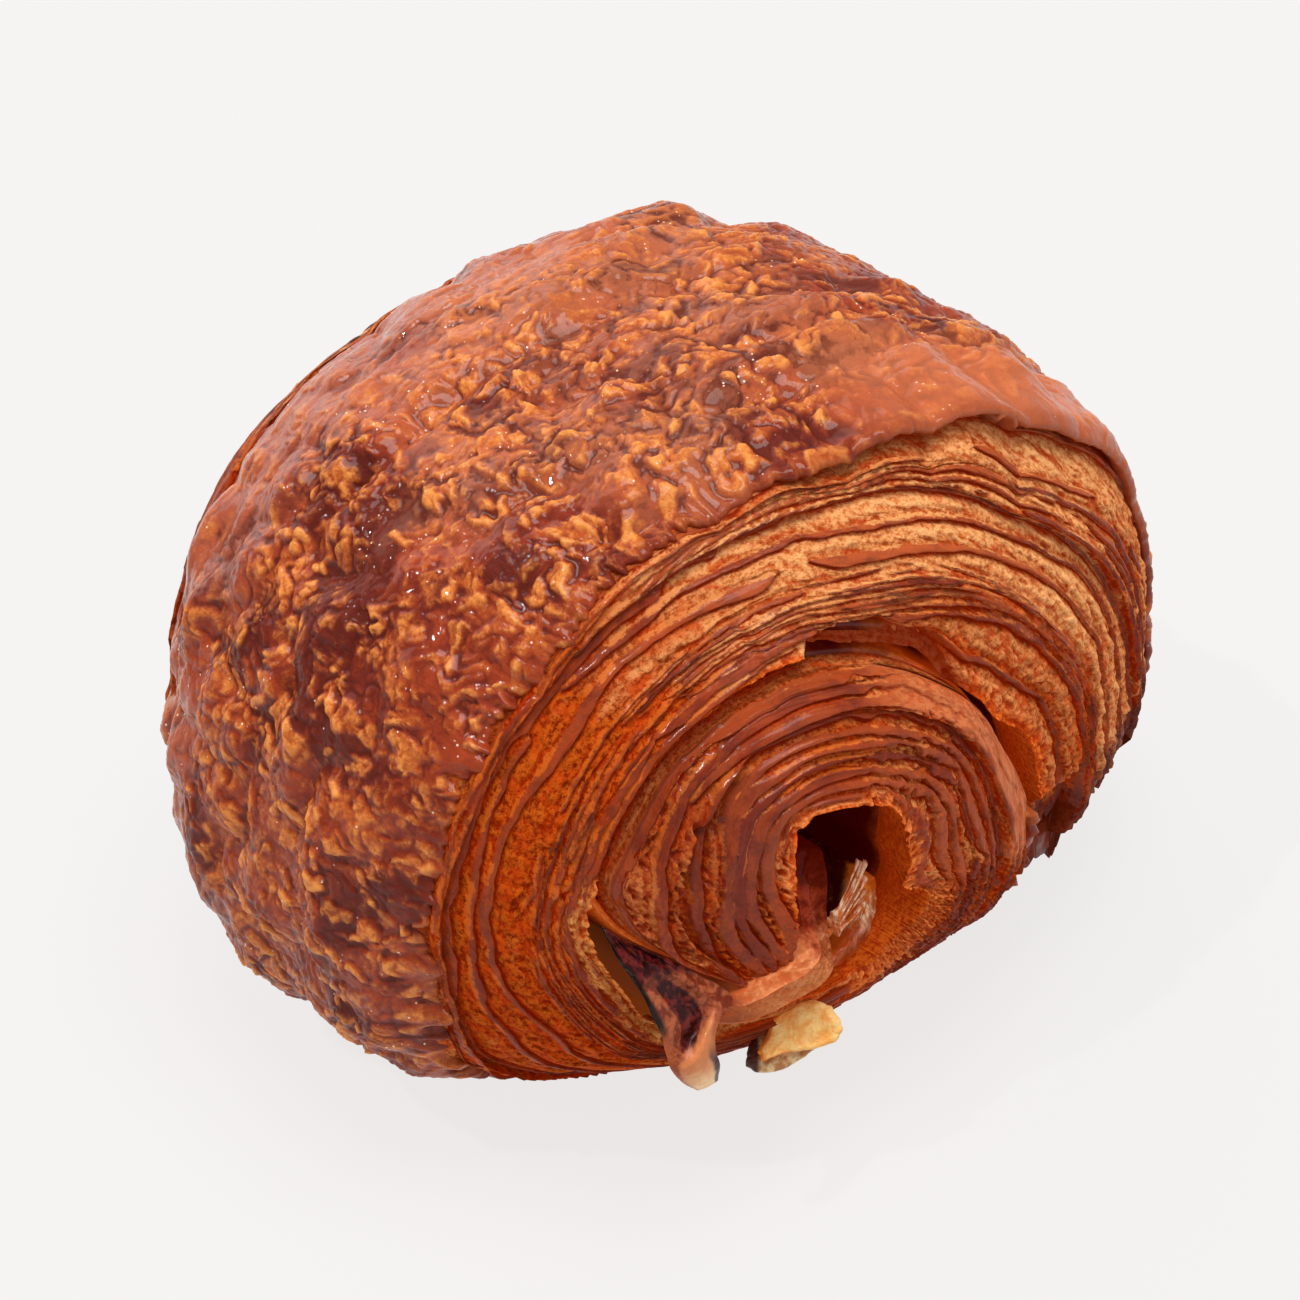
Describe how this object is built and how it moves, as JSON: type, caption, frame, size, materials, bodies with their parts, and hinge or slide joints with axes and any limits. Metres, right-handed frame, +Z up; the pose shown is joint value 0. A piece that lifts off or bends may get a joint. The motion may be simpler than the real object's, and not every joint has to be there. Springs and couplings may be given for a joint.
{
  "type": "ham and cheese pastry",
  "caption": "Rolled puff pastry with a glazed, blistered crust, cut layers showing at both ends, and ham and cheese in its hollow core.",
  "frame": {"origin": "on the flat base, under the middle of the roll", "axes": "+Z up, Y along the roll's axis with the end that shows the filling facing -Y, X across the roll with the dough's outer tail on +X"},
  "size_m": [0.1084, 0.101, 0.0778],
  "materials": {
    "crust": "egg-glazed, blistered, red-brown to golden",
    "ham": "moist, pink",
    "dried_ham": "dried, dark brown with a pale tip",
    "cheese": "melted, pale to orange",
    "baked_cheese": "baked crisp, yellow-gold"
  },
  "bodies": {
    "root": {"pastry_roll": "crust", "ham_slice": "ham", "ham_curl": "dried_ham", "cheese_melt": "cheese", "cheese_crisp": "baked_cheese"}
  },
  "joints": []
}
